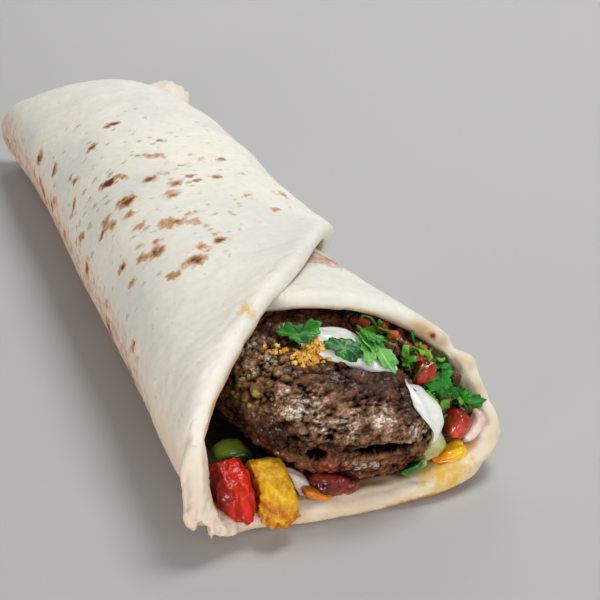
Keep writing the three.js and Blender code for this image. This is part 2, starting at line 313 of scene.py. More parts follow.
def cut_edge(piece):
    """Points along the middle of a sheet's cut edge: its faces with a sharp fold on two sides."""
    edit = bmesh.new()
    edit.from_mesh(piece.data)
    found = []
    for face in edit.faces:
        folds = [edge for edge in face.edges if edge.is_manifold and edge.calc_face_angle() > SHARP_FOLD]
        if len(face.edges) != 4 or len(folds) < 2:
            continue
        one, other = folds[0], folds[1]
        start, end = (v.co for v in one.verts)
        near, far = sorted((v.co for v in other.verts), key=lambda place: (place - start).length)
        for share in np.linspace(0, 1, 8):
            found.append((start.lerp(end, share) + near.lerp(far, share)) / 2)
    edit.free()
    tree = kdtree.KDTree(len(found))
    for index, place in enumerate(found):
        tree.insert(place, index)
    tree.balance()
    return tree


bread = merged_copy("flatbread", "bread")
select_only(bread)
bpy.ops.object.mode_set(mode="EDIT")
bpy.ops.mesh.select_all(action="SELECT")
bpy.ops.mesh.tris_convert_to_quads(face_threshold=math.radians(60), shape_threshold=math.radians(120))
bpy.ops.object.mode_set(mode="OBJECT")
edge_tree = cut_edge(bread)
finish_with(bread, "SUBSURF", levels=2, render_levels=2)

HALF_THICK = 3.2 * MM
WAIST = 22 * MM  # the level of the roll's widest part
GIRTH_RADIUS = 44 * MM
# The roll's middle line, as a curve along Y through the middle of each slice.
dough = points_of(bread)
slices = np.linspace(cad_low.y, cad_high.y, 24)
middles = []
for low, high in zip(slices[:-1], slices[1:]):
    inside = dough[(dough[:, 1] >= low) & (dough[:, 1] <= high), 0]
    middles.append((inside.min() + inside.max()) / 2)
middle_line = np.polyfit((slices[:-1] + slices[1:]) / 2, middles, 3)


def round_angle(points):
    """Degrees round the roll: 0 right, 90 top, 180 left, 270 underside."""
    sideways = points[:, 0] - np.polyval(middle_line, points[:, 1])
    return np.degrees(np.arctan2(points[:, 2] - WAIST, sideways)) % 360


def outward(points):
    """The way out from the roll's middle line at each point."""
    out = np.stack([points[:, 0] - np.polyval(middle_line, points[:, 1]),
                    np.zeros(len(points)), points[:, 2] - WAIST], 1)
    return out / np.linalg.norm(out, axis=1, keepdims=True).clip(1e-9)


def edge_distance(points, normals):
    """Millimetres over the sheet from its cut edge; far where the nearest edge is another lap's."""
    nearest = np.array([edge_tree.find(Vector(p))[0] for p in points])
    away = points - nearest
    through = np.abs((away * normals).sum(1))
    reach = np.sqrt(np.clip((away ** 2).sum(1) - HALF_THICK ** 2, 0, None)) / MM
    return np.where(through > 1.3 * HALF_THICK, 40, reach)


# Finer where it shows most: the outside above the floor, and all round the mouth.
face_places = face_middles(bread)
face_facing = np.array([p.normal for p in bread.data.polygons])
face_outside = (face_facing * outward(face_places)).sum(1) > 0.2
fine = (face_outside & (face_places[:, 2] > 5 * MM)) | (edge_distance(face_places, face_facing) < 9)
subdivide(bread, fine)
TORN_CORNER = (-40, 1, 10.5)
near_corner = np.linalg.norm(face_middles(bread) - np.array(from_mouth(*TORN_CORNER)), axis=1) < 11 * MM
subdivide(bread, near_corner)
TORN_TAIL = (22, 280, 24)


def tear(piece, place, inward, sizes, seed):
    """Tears a ragged bit out of a sheet; sizes are millimetres across, deep and high."""
    bpy.ops.mesh.primitive_ico_sphere_add(subdivisions=4, radius=1)
    tool = new_shape("torn_bit")
    points = points_of(tool)
    points *= (1 + 0.35 * bumps(points, 0.7, seed, octaves=3))[:, None]
    turned = np.array(inward.to_track_quat("Y", "Z").to_matrix())
    move_points(tool, (points * np.array(sizes) * MM) @ turned.T + np.array(place))
    finish_with(piece, "BOOLEAN", operation="DIFFERENCE", solver="EXACT", object=tool)
    bpy.data.objects.remove(tool)


dough = points_of(bread)
bread_normals = normals_of(bread)
out_way = outward(dough)
facing = (bread_normals * out_way).sum(1)
inner = step(-facing, 0.1, 0.6)
edge = edge_distance(dough, bread_normals)
settled = step(dough[:, 2], 1.5 * MM, 6 * MM)
# The whole sheet waves a little, with faint folds running round the roll.
wave = 0.45 * bumps(dough, 26 * MM, 1, octaves=2)
folds = 1 - np.clip(np.abs(bumps(dough, 18 * MM, 3, (1.8, 0.45, 1.8), octaves=2)) / 0.12, 0, 1)
wave -= 0.45 * folds
# A puffed rim as wide as a finger, with a soft hollow behind it.
puff = 1.4 * np.exp(-((edge - 3.8) / 3.6) ** 2) - 1.5 * np.exp(-((edge - 11) / 2.6) ** 2)
puff *= (1 - 0.55 * inner) * (0.85 + 0.25 * bumps(dough, 16 * MM, 4))
puff *= 1 - 0.8 * step(dough[:, 1], 60 * MM, 110 * MM)
grainy = 0.14 * bumps(dough, 4.5 * MM, 2, octaves=2)
moved = dough + out_way * (wave * settled * MM)[:, None]
moved += bread_normals * ((puff * settled + grainy) * settled * MM)[:, None]
# The cut edge is uneven, and torn at the mouth's front left corner and at the far tail.
torn = spot(dough, TORN_CORNER, (7, 8, 8))
torn_tail = spot(dough, TORN_TAIL, (16, 22, 18))
torn = np.maximum(torn, 2 * torn_tail)
at_edge = 1 - step(edge, 0.5, 5)
for axis in range(3):
    uneven = bumps(dough, 7 * MM, 6 + axis, octaves=2) * 0.45
    uneven += torn * bumps(dough, 3.2 * MM, 9 + axis, octaves=3) * (1.5 if axis < 2 else 0.8)
    moved[:, axis] += at_edge * uneven * MM * (settled if axis == 2 else 1)
# Bits of it stand out: how many millimetres which way, where, and how far around.
for push, place, size in (
    ((6, -1, 0), (25, 264, 19), (12, 16, 9)),  # the tail's side
    ((0, 0, 2.5), (18.5, 268, 27), (4, 9, 5)),  # the tail's peak
    ((-2.8, -0.5, -0.4), (-45, 3, 9.5), (5, 7.5, 5.5)),  # the torn corner's foot
    ((1.7, -0.3, 0), (52, 17, 13), (8, 15, 7)),  # the right lap's foot, out over the lip
):
    moved += np.array(push) * MM * spot(dough, place, size)[:, None]
for depth, place, size in (
    (3.0, (-43.5, 16.5, 11), (8, 5, 10)),  # a pinched waist behind the torn corner
    (1.6, (48, 9, 5.8), (8, 12, 1.7)),  # a crease below the right lap's foot
):
    moved -= bread_normals * (depth * MM * spot(dough, place, size))[:, None]
moved[:, 2] = np.maximum(moved[:, 2], dough[:, 2].min())
move_points(bread, moved)
INTO_THE_SHEET = Vector((0.28, 0.82, -0.5))
ALONG_THE_ROLL = Vector((0, 1, 0))
TEARS = (
    ((-41.4, 1.5, 7.2), INTO_THE_SHEET, (2.3, 9, 4.0)),
    ((-38.2, 0.5, 6.2), INTO_THE_SHEET, (1.3, 6, 1.5)),
    ((-46.4, 3, 7.4), INTO_THE_SHEET, (1.6, 6, 1.3)),
    ((24.5, 268, 30.5), ALONG_THE_ROLL, (2.6, 11, 2.4)),
    ((12.5, 270, 31), ALONG_THE_ROLL, (2.2, 8, 1.6)),
)
for seed, (place, inward, sizes) in enumerate(TEARS, 71):
    tear(bread, from_mouth(*place), inward, sizes, seed)


dough = points_of(bread)
bread_normals = normals_of(bread)
inner = step(-(bread_normals * outward(dough)).sum(1), 0.1, 0.6)
edge = edge_distance(dough, bread_normals)
torn_tail = spot(dough, TORN_TAIL, (16, 22, 18))
angles = round_angle(dough)
along = dough[:, 1] / MM
# Char marks on the outside, by region: how many, and the least and most of millimetres along from
# the middle, degrees round, millimetres wide and strength.
CHAR_REGIONS = [
    (18, (-70, -10), (100, 158), (2.2, 4.4), (0.5, 1.0)),  # the shoulder behind the mouth
    (11, (-10, 55), (95, 166), (1.8, 3.8), (0.42, 0.9)),  # the shoulder further back
    (12, (-76, 75), (166, 193), (2.6, 3.5), (0.65, 1.0)),  # low on the left
    (6, (-60, 8), (62, 92), (2.3, 3.3), (0.4, 0.7)),  # the crown
    (8, (-30, 104), (-12, 60), (2.4, 4.0), (0.5, 0.95)),  # the right side
]
scorching = random.Random(4)
charred = np.zeros(len(dough))
for count, *spans in CHAR_REGIONS:
    for _ in range(count):
        mark_y, mark_angle, wide, strength = (scorching.uniform(*span) for span in spans)
        round_off = (angles - mark_angle + 180) % 360 - 180
        gap = np.hypot((along - mark_y) / (0.75 * wide),
                       np.radians(round_off) * GIRTH_RADIUS / MM / (1.15 * wide))
        charred = np.maximum(charred, strength * np.exp(-gap ** 2))
LAP_MARK = (39.3, 34.5, 36)
charred = np.maximum(charred, spot(dough, LAP_MARK, (1.6, 1.6, 1.6)))
paint(bread, "charred", charred * (1 - inner))

zone = step(along, -96, -45) * (1 - 0.7 * step(along, 35, 95))
low_left = step(angles, 160, 190) * (1 - step(angles, 225, 245))
browned = np.maximum(zone * (0.6 + 0.45 * step(angles, 60, 110)), 1.25 * low_left * step(along, -125, -70))
paint(bread, "browned", browned * (1 - inner))
paint(bread, "rosy", np.clip(np.maximum(0.6 * low_left * (1 - inner), 0.3 * torn_tail), 0, 1))

front_floor = (1 - step(along, -132, -118)) * step(angles, 200, 240)
low_edge = 1 - step(dough[:, 2] / MM, 1.0, 4.0)
toasted = front_floor * low_edge * (0.4 + 0.6 * step(dough[:, 0] / MM, 0, 34))
toasted = np.maximum(toasted, 0.42 * low_left * step(along, -120, -70) * (1 - inner))
OILED = (17, 72, 44)  # where meat oil has run out under the flap
toasted = np.maximum(toasted, 0.95 * spot(dough, OILED, (11, 7, 5)))
paint(bread, "toasted", toasted)

PEPPER_DRIP = (33, 6, 6.5)
FLAP_DRIP = (-15.5, 41, 52)
juicy = 0.85 * spot(dough, PEPPER_DRIP, (10, 6, 6))
juicy = np.maximum(juicy, 0.8 * spot(dough, FLAP_DRIP, (2.5, 5, 6)))
paint(bread, "juicy", juicy)
# Inside the roll near the mouth: painted shade, joined below by the oil stain on the lip and the sauce run
# over the lap's edge.
soak = inner * (1 - step(along, -30, 20)) * (0.7 + 0.3 * bumps(dough, 9 * MM, 5))
lip_stain = (0.4 + 0.15 * bumps(dough, 7 * MM, 13)) * front_floor
lip_stain *= step(dough[:, 0] / MM, -42, -22)
soak = np.maximum(soak * (0.5 + 0.5 * step(edge, 0.5, 4)), lip_stain)
SAUCE = (5, 5, 3.5)  # the size of each stain where sauce has run over the lap's edge
stains = patches(dough, ((36, 35, 38), SAUCE), ((41, 32, 34), SAUCE), ((45, 28, 29), SAUCE),
                 ((48, 23, 22), SAUCE))
soak = np.maximum(soak, 0.75 * stains)
soak = np.clip(soak * (1 + 0.5 * bumps(dough, 4 * MM, 14, octaves=2)), 0, 1)
paint(bread, "soaked", soak * 0.9)
creamy = 0.6 * (1 - inner) * (1 - step(edge, 5, 9.5)) * (1 - low_left) * (1 - step(along, -40, 20))
paint(bread, "creamy", creamy)

# The sheet unrolled: metres round it and metres along it.
for layer in list(bread.data.uv_layers):  # left by the tearing
    bread.data.uv_layers.remove(layer)
unrolled = bread.data.uv_layers.new(name="sheet")
turn = np.radians((angles + 90) % 360)
corner_vertex = np.empty(len(bread.data.loops), dtype=np.int32)
bread.data.loops.foreach_get("vertex_index", corner_vertex)
corner_face = np.repeat(np.arange(len(bread.data.polygons)), [len(p.vertices) for p in bread.data.polygons])
corner_turn = turn[corner_vertex]
face_high = np.zeros(len(bread.data.polygons))
np.maximum.at(face_high, corner_face, corner_turn)
across_the_seam = face_high[corner_face] - corner_turn > math.pi
corner_turn = np.where(across_the_seam, corner_turn + 2 * math.pi, corner_turn)
sheet_places = np.stack([corner_turn * GIRTH_RADIUS, dough[corner_vertex, 1]], 1)
unrolled.data.foreach_set("uv", sheet_places.astype(np.float32).ravel())
stand_for(bread, ["flatbread"], bread_material())


# ---- Kofta ------------------------------------------------------------------------------------
def kofta_material():
    """Minced lamb grilled hard: dark brown crust, greyish-pink grains partly painted as highlights, painted
    shade in the crevices, oily below.
    """
    material, tree, main = new_material("kofta_grilled_mince", Roughness=0.42, IOR=1.47,
                                        Coat_Roughness=0.16)
    solid = node(tree, "TexCoord").outputs["Object"]
    given = {name: node(tree, "Attribute", attribute_name=name).outputs["Fac"]
             for name in ("raised", "ashen", "seared", "rare", "herby", "oily")}
    patch = node(tree, "TexNoise", {"Vector": solid, "Scale": 95.0, "Detail": 4.0})
    crust = node(tree, "MapRange", {"Value": patch, 1: 0.38, 2: 0.62})
    # Grains of mince under a millimetre across, drawn out a little along the meat.
    drawn_out = node(tree, "Mapping", {"Vector": solid, "Scale": (0.85, 0.95, 1.1)})
    grain = node(tree, "TexNoise", {"Vector": drawn_out, "Scale": 1350.0, "Detail": 4.0,
                 "Roughness": 0.75})
    # Pale greyish meat and painted highlights on the raised grains, in three steps from tan to near white;
    # the near white is a painted glint.
    lit = node(tree, "Math", {0: given["raised"], 1: 0.44, 2: given["ashen"]},
               operation="MULTIPLY_ADD")
    lit = node(tree, "Math", {0: lit, 1: grain}, operation="MULTIPLY")
    tan, pale, bright = (node(tree, "MapRange", {"Value": lit, 1: low, 2: high, 4: most})
                         for low, high, most in ((0.18, 0.3, 0.75), (0.3, 0.4, 0.85), (0.39, 0.5, 1.0)))
    pink = node(tree, "Math", {0: given["rare"], 1: grain, 2: given["rare"]},
                operation="MULTIPLY_ADD")
    pink = node(tree, "MapRange", {"Value": pink, 1: 0.3, 2: 1.2, 4: 0.85})
    # Chopped chilli and herbs in the mince: green and yellow flecks 1.5 mm across.
    fleck = node(tree, "TexVoronoi", {"Vector": solid, "Scale": 650.0}).outputs["Color"]
    chance = node(tree, "SeparateColor", {0: fleck})
    herb = node(tree, "Math", {0: chance, 1: given["herby"]}, operation="MULTIPLY")
    herb = node(tree, "MapRange", {"Value": herb, 1: 0.56, 2: 0.64, 4: 0.85})
    herb_colour = node(tree, "Mix", {0: chance.outputs[1], 6: linear("3E5418"), 7: linear("BDB93C")},
                       data_type="RGBA").outputs[2]
    # Painted shade: dark in the crevices between grains, near black where the meat lies low, in the split,
    # the hole and the cracks.
    between = node(tree, "MapRange", {"Value": grain, 1: 0.38, 2: 0.47, 3: 0.75, 4: 0.0})
    fatty = node(tree, "Math", {0: given["oily"], 1: 0.6}, operation="MULTIPLY")
    deep = node(tree, "MapRange", {"Value": given["raised"], 1: 0.08, 2: 0.46, 3: 1.0, 4: 0.0})
    base = linear("5E361F")
    for share, colour in ((crust, "94603C"), (fatty, "96502C"), (given["seared"], "35140A"),
                          (tan, "AC7E5A"), (pale, "C8A07C"), (bright, "FAF0E4"), (pink, "A8422A"),
                          (herb, herb_colour), (between, "230F07"), (deep, "0E0502")):
        colour = linear(colour) if isinstance(colour, str) else colour
        base = node(tree, "Mix", {0: share, 6: base, 7: colour}, data_type="RGBA").outputs[2]
    wet = node(tree, "MapRange", {"Value": patch, 1: 0.35, 2: 0.65, 3: 0.26, 4: 0.5})
    wet = node(tree, "Math", {0: given["oily"], 1: -0.16, 2: wet}, operation="MULTIPLY_ADD")
    shine = node(tree, "MapRange", {"Value": given["raised"], 1: 0.1, 2: 0.5, 4: 0.42})
    feed(main, {"Roughness": wet, "Specular IOR Level": shine, "Coat Weight": shine})
    relief = node(tree, "Bump", {"Strength": 1.0, "Distance": 0.7 * MM, "Height": grain})
    feed(main, {"Base Color": base, "Normal": relief})
    return material


kofta = merged_copy("kofta", "kofta_meat")
finish_with(kofta, "REMESH", mode="VOXEL", voxel_size=1.05 * MM)
finish_with(kofta, "SMOOTH", factor=0.6, iterations=5)
subdivide(kofta, face_middles(kofta)[:, 1] < from_mouth(0, 60, 0).y)
meat = points_of(kofta)
meat_normals = normals_of(kofta)
front_part = 1 - step(meat[:, 1], from_mouth(0, 40, 0).y, from_mouth(0, 70, 0).y)
coarse = grains(meat, 5 * MM, 1, (1.4, 1.1, 0.8))
fine = grains(meat, 2.4 * MM, 2, (1.3, 1, 0.8))
finest = grains(meat, 1.25 * MM, 5, (1.2, 1, 0.9))
rough = bumps(meat, 10 * MM, 3, (1.6, 1.2, 0.7), octaves=4)
cracks = 1 - np.clip(np.abs(bumps(meat, 10 * MM, 4, (2.4, 1.5, 0.55), octaves=2)) / 0.1, 0, 1)
# The split across its end, a round hole beside it, and the fatty folds below them.
below = 1 - step(meat[:, 2] + 0.12 * (meat[:, 0] - MOUTH.x), 18 * MM, 23 * MM)
lower_lip = spot(meat, (8, 6, 13.5), (15, 14, 5))
brow = spot(meat, (2, 8, 27), (26, 12, 4))
slit = spot(meat, (11, 6, 20.9), (7, 12, 1.7))
slit = step(np.maximum(slit, spot(meat, (19, 5, 19.6), (5.5, 12, 1.3))), 0.35, 0.85)
hole = step(spot(meat, (-6, 9, 20.8), (3.2, 12, 2.1)), 0.35, 0.8)
hole_rim = spot(meat, (-6, 9, 20.8), (5, 12, 3.6)) - hole
red_lump = spot(meat, (-1.5, 8, 17.2), (3.4, 8, 2.4))
pale_lump = spot(meat, (7.5, 6, 16.4), (4.5, 8, 2.4))
flat_top = spot(meat, (2, 26, 43), (16, 12, 5))
height = 1.1 * rough + 0.85 * (coarse - 0.5) + 0.75 * (fine - 0.5) + 0.45 * (finest - 0.5) - 0.4 * cracks
height += front_part * (1.6 * lower_lip + 0.6 * brow - 4.2 * slit - 5 * hole + 0.7 * hole_rim
                        + 1.3 * red_lump + 0.9 * pale_lump - 1.2 * flat_top)
move_points(kofta, meat + meat_normals * (height * MM)[:, None])
# How raised each point is; the material paints shade where it is low and highlight where it is high.
raised = 0.5 + 0.22 * rough + 0.26 * (coarse - 0.45) + 0.34 * (fine - 0.45) + 0.3 * (finest - 0.5)
raised -= 0.18 * cracks + 1.6 * slit + 1.7 * hole
# Pale patches: partly greyish meat, partly painted highlight on the raised front and top.
ashen = patches(
    meat, ((-9, 14, 35), (14, 12, 7)), ((0.5, 8, 29), (17, 12, 6)), ((12, 9, 30), (14, 10, 6)),
    ((-15, 36, 41), (12, 14, 7)), ((23, 8, 24), (9, 9, 7)), ((7.5, 6, 16), (7, 9, 3)))
ashen *= 0.72 + 0.35 * bumps(meat, 4 * MM, 15, octaves=3)
seared = patches(
    meat, ((6, 18, 39), (9, 7, 4)), ((14, 14, 36.5), (9, 6, 3)), ((-16, 16, 24), (9, 12, 6)),
    ((8.5, 9, 28), (3.4, 5, 1.8)), ((22, 9, 30), (5, 6, 4)), ((2, 42, 46), (20, 12, 5)))
rare = np.maximum(red_lump, 0.4 * spot(meat, (12, 5, 12.5), (14, 9, 4)))
herby = spot(meat, (-22, 29, 35), (5, 8, 5))
herby = np.maximum(herby, 0.9 * spot(meat, (-18.5, 21, 34), (3.5, 5, 4)))
paint(kofta, "raised", np.clip(raised, 0, 1))
paint(kofta, "ashen", ashen - 0.5 * seared)
paint(kofta, "seared", 0.8 * seared)
paint(kofta, "rare", rare)
paint(kofta, "herby", np.clip(herby * (0.75 + 0.6 * bumps(meat, 2.5 * MM, 57)), 0, 1) + 0.4)
paint(kofta, "oily", below)
stand_for(kofta, ["kofta"], kofta_material())


# ---- Cut vegetables -------------------------------------------------------------------------------
def flesh_material(name, pale, deep, turned, size, roughness, wet=0.3, stretch=(1, 1, 1), sheer=0.25):
    """Cut flesh: two shades in patches size millimetres across, a third where painted, wet on top."""
    material, tree, main = new_material(
        name, Roughness=roughness, IOR=1.38, Coat_Weight=wet, Coat_Roughness=0.1,
        Subsurface_Weight=sheer, Subsurface_Radius=(0.004, 0.002, 0.001), Subsurface_Scale=0.5)
    solid = node(tree, "TexCoord").outputs["Object"]
    along_it = node(tree, "Mapping", {"Vector": solid, "Scale": stretch})
    patch = node(tree, "TexNoise", {"Vector": along_it, "Scale": 1 / (size * MM), "Detail": 4.0,
                 "Distortion": 0.6})
    share = node(tree, "MapRange", {"Value": patch, 1: 0.36, 2: 0.64})
    base = node(tree, "Mix", {0: share, 6: linear(pale), 7: linear(deep)}, data_type="RGBA").outputs[2]
    shade = node(tree, "Attribute", attribute_name="shade").outputs["Fac"]
    base = node(tree, "Mix", {0: shade, 6: base, 7: linear(turned)}, data_type="RGBA").outputs[2]
    tooth = node(tree, "TexNoise", {"Vector": along_it, "Scale": 800.0, "Detail": 3.0})
    relief = node(tree, "Bump", {"Strength": 0.6, "Distance": 0.35 * MM, "Height": tooth})
    feed(main, {"Base Color": base, "Normal": relief})
    return material


def cut_piece(node_name, name, voxel=0.5, smoothing=5):
    """A soft-edged copy of a cut piece; returns it, its points and how far each lies across its box."""
    piece = merged_copy(node_name, name)
    finish_with(piece, "REMESH", mode="VOXEL", voxel_size=voxel * MM)
    finish_with(piece, "SMOOTH", factor=0.5, iterations=smoothing)
    points = points_of(piece)
    low, high = points.min(0), points.max(0)
    return piece, points, (points - low) / (high - low)


def veins(points, size, seed, stretch):
    """1 along thin wandering lines, 0 between them."""
    return 1 - np.clip(np.abs(bumps(points, size, seed, stretch, octaves=2)) / 0.14, 0, 1)


def swell(piece, points, height, shade):
    """Moves a piece's points out by height millimetres and paints its shade."""
    move_points(piece, points)
    move_points(piece, points + normals_of(piece) * (height * MM)[:, None])
    paint(piece, "shade", np.clip(shade, 0, 1))


# Raw tomato: a wedge with juicy upright veins, its torn tip lying out on the bread.
wedge, points, share = cut_piece("tomato_wedge", "tomato_wedge_raw")
tip = (1 - step(share[:, 2], 0.05, 0.45)) * (1 - step(share[:, 1], 0.1, 0.5))
jag = bumps(points, 2.2 * MM, 31, octaves=2)
points[:, 0] -= 3.4 * MM * (share[:, 0] - 0.62) * (1 - step(share[:, 2], 0.02, 0.4))
points[:, 0] -= 1.6 * MM * (share[:, 0] - 0.2)
points = points + np.array((0.6, -1.6, -0.9)) * MM * tip[:, None]
points = points + np.array((1, -1, 0)) * (tip * jag * MM)[:, None]
vein = veins(points, 3.4 * MM, 32, (0.7, 0.7, 3))
swell(wedge, points, 0.7 * bumps(points, 3.4 * MM, 33, (0.8, 0.8, 2.2), octaves=4) + 0.35 * vein,
      0.9 * (1 - step(share[:, 0], 0.15, 0.55)) * step(share[:, 2], 0.1, 0.5) - 0.4 * vein)
stand_for(wedge, ["tomato_wedge"],
          flesh_material("tomato_flesh_raw", "E42C02", "AC0E02", "700502", 2.6, 0.34, 0.2, (1.2, 1.2, 0.4)))

# Fried potato: smooth and yellow above, a rough golden crust below.
potato, points, share = cut_piece("potato_wedge", "potato_wedge_fried", smoothing=3)
crust = 1 - step(share[:, 2] + 0.3 * (share[:, 0] - 0.5) + 0.14 * bumps(points, 4 * MM, 34), 0.45, 0.62)
crust = np.maximum(crust, 0.6 * (1 - step(share[:, 0], 0.05, 0.35)))
points = points + np.array((0, -1.5, -0.6)) * MM * (crust * (1 - step(share[:, 1], 0.1, 0.4)))[:, None]
lumps = 1.1 * (grains(points, 1.7 * MM, 35) - 0.45) + 0.8 * bumps(points, 1.5 * MM, 36, octaves=2)
swell(potato, points, crust * lumps + 0.5 * (1 - crust) * bumps(points, 4 * MM, 37, octaves=3),
      crust * (0.6 + 1.1 * bumps(points, 2.2 * MM, 58, octaves=2)))
stand_for(potato, ["potato_wedge"],
          flesh_material("potato_fried", "F0C61C", "D08C08", "C06606", 1.9, 0.42, 0.2, sheer=0.12))

# Roasted tomato: dark, collapsed and glossy, orange at its thin edge.
roast, points, share = cut_piece("roasted_tomato", "tomato_roasted", smoothing=3)
points += np.array((0.6, -1.6, -1.2)) * MM * (1 - share[:, 1:2])
points[:, 0] += 1.6 * MM * (share[:, 0] - 0.5)
swell(roast, points, 0.8 * bumps(points, 4 * MM, 38, octaves=3) + 0.4 * (grains(points, 2 * MM, 39) - 0.5),
      0.8 * (1 - step(share[:, 2], 0.05, 0.4)) * (0.6 + 0.5 * bumps(points, 4 * MM, 40)))
stand_for(roast, ["roasted_tomato"],
          flesh_material("tomato_roasted_flesh", "8A1C0C", "3E0A06", "B4541A", 3, 0.22, 0.7))

# Onion: thin slivers with fine upright ribs, blushed pink on one side.
onion = flesh_material("onion_flesh", "F4EAE4", "E2CFC6", "D9A49C", 3, 0.28, 0.4, (1, 1, 0.3))
for seed, name in enumerate(("onion_sliver", "onion_sliver_right")):
    sliver, points, share = cut_piece(name, name + "_raw", voxel=0.4)
    ribs = 0.14 * bumps(points, 1.3 * MM, 41 + seed, (0.8, 1, 6))
    bow = (share[:, 2] - 0.5) ** 2 * 4
    points[:, 0] += 1.2 * MM * (0.5 - bow)
    swell(sliver, points, ribs + 0.15 * bumps(points, 4 * MM, 43 + seed), 0.7 * step(share[:, 0], 0.4, 1))
    stand_for(sliver, [name], onion)

# Peppers and chilli.
strip, points, share = cut_piece("orange_pepper_strip", "orange_pepper_strip_roasted", voxel=0.35)
swell(strip, points, 0.3 * bumps(points, 2.5 * MM, 45, octaves=2), 0.6 * (1 - step(share[:, 0], 0.0, 0.6)))
stand_for(strip, ["orange_pepper_strip"],
          flesh_material("pepper_orange_roasted", "F0A51E", "D97A10", "A8480E", 2.5, 0.3, 0.5))

chilli, points, share = cut_piece("chilli_slice", "chilli_slice_pickled", voxel=0.4, smoothing=8)
points[:, 2] -= 0.28 * (points[:, 2] - points[:, 2].min())
points[:, 2] += 1.2 * MM * (share[:, 0] - 0.5) ** 2 * 4
points[:, 2] -= 0.7 * (points[:, 2] - points[:, 2].min()) * (2 * share[:, 0] - 1) ** 2
# Its top edge is painted pale, as a highlight.
swell(chilli, points, 0.25 * bumps(points, 3 * MM, 46, octaves=2), 0.9 * step(share[:, 2], 0.78, 0.98))
stand_for(chilli, ["chilli_slice"],
          flesh_material("chilli_pickled", "2F5A0E", "1C3C06", "8FAA3C", 3, 0.24, 0.5, sheer=0.3))

green, points, share = cut_piece("green_pepper_piece", "green_pepper_piece_raw", voxel=0.4)
points += np.array((0.5, -2.0, 1.0)) * MM * (1 - share[:, 1:2])
swell(green, points, 0.3 * bumps(points, 3 * MM, 47, octaves=2), 0.9 * step(share[:, 0], 0.62, 0.9))
stand_for(green, ["green_pepper_piece"],
          flesh_material("pepper_green_flesh", "2A7414", "164A09", "B4CF7E", 3, 0.22, 0.6))

yellow, points, share = cut_piece("yellow_pepper_piece", "yellow_pepper_piece_pickled", voxel=0.4)
points[:, 2] -= (0.45 * (1 - share[:, 0]) + 0.1) * (points[:, 2] - points[:, 2].min())
points[:, 0] += 2.5 * MM * (share[:, 0] - 0.35)
swell(yellow, points, 0.55 * bumps(points, 2.6 * MM, 48, octaves=3), 1 - step(share[:, 0], 0.2, 0.75))
stand_for(yellow, ["yellow_pepper_piece"],
          flesh_material("pepper_yellow_flesh", "F9CE1C", "F2B414", "E88A12", 4, 0.24, 0.6))

cucumber, points, share = cut_piece("cucumber_piece", "cucumber_piece_raw")
points[:, 0] += 1.8 * MM * share[:, 0]
swell(cucumber, points, 0.4 + 0.3 * bumps(points, 3 * MM, 49, octaves=2), 0.7 * step(share[:, 0], 0.6, 1))
stand_for(cucumber, ["cucumber_piece"],
          flesh_material("cucumber_flesh", "D2CFA0", "B5B67C", "8FA052", 3, 0.26, 0.5, sheer=0.4))

# Diced tomato, its skin side deeper red.
tomato_dice = flesh_material("tomato_dice_flesh", "D8503A", "B22A1C", "8E120C", 2.4, 0.24, 0.6)
for seed, name in enumerate(("tomato_dice_front", "tomato_dice_back")):
    dice, points, share = cut_piece(name, name + "_raw", voxel=0.4, smoothing=3)
    swell(dice, points, 0.35 * bumps(points, 2.6 * MM, 50 + seed, octaves=2), 0.8 * step(share[:, 2], 0.5, 1))
    stand_for(dice, [name], tomato_dice)


# ---- Yogurt -----------------------------------------------------------------------------------
yogurt = flesh_material("yogurt_strained", "F0F3F1", "E4EAE7", "D9DDD6", 8, 0.3, 0.35, sheer=0.35)
side, points, share = cut_piece("yogurt_side", "yogurt_side_spooned", smoothing=14)
wider = 0.9 * np.exp(-((share[:, 2] - 0.55) / 0.3) ** 2) - 1.2 * step(share[:, 2], 0.75, 1)
points[:, 0] += 0.6 * MM * step(share[:, 0], 0.3, 1) * np.exp(-((share[:, 2] - 0.5) / 0.35) ** 2)
points += np.array((0.2, -1.8, -1.2)) * MM - np.array((1.6, 0, 0)) * MM * share[:, 0:1]
fold = np.exp(-((share[:, 0] - 0.45 - 0.25 * (1 - share[:, 2])) / 0.16) ** 2) * step(share[:, 2], 0.1, 0.4)
swell(side, points, wider + 0.7 * bumps(points, 6 * MM, 52, octaves=2) - 0.9 * fold, 0.4 * (1 - share[:, 2]))
stand_for(side, ["yogurt_side"], yogurt)


def tree_of(*pieces):
    """The faces of some pieces, to find what lies under a place."""
    points, faces = [], []
    for piece in pieces:
        faces += [tuple(v + len(points) for v in face.vertices) for face in piece.data.polygons]
        points += [v.co.copy() for v in piece.data.vertices]
    return BVHTree.FromPolygons(points, faces)


meat_tree = tree_of(kofta)
UP = Vector((0, 0, 1))


def ground_under(tree, place, way=UP, reach=14 * MM):
    """Where a thing let down from above a place lands, or the place itself."""
    landing = tree.ray_cast(place + way * reach, -way, 3 * reach)[0]
    return place if landing is None else landing


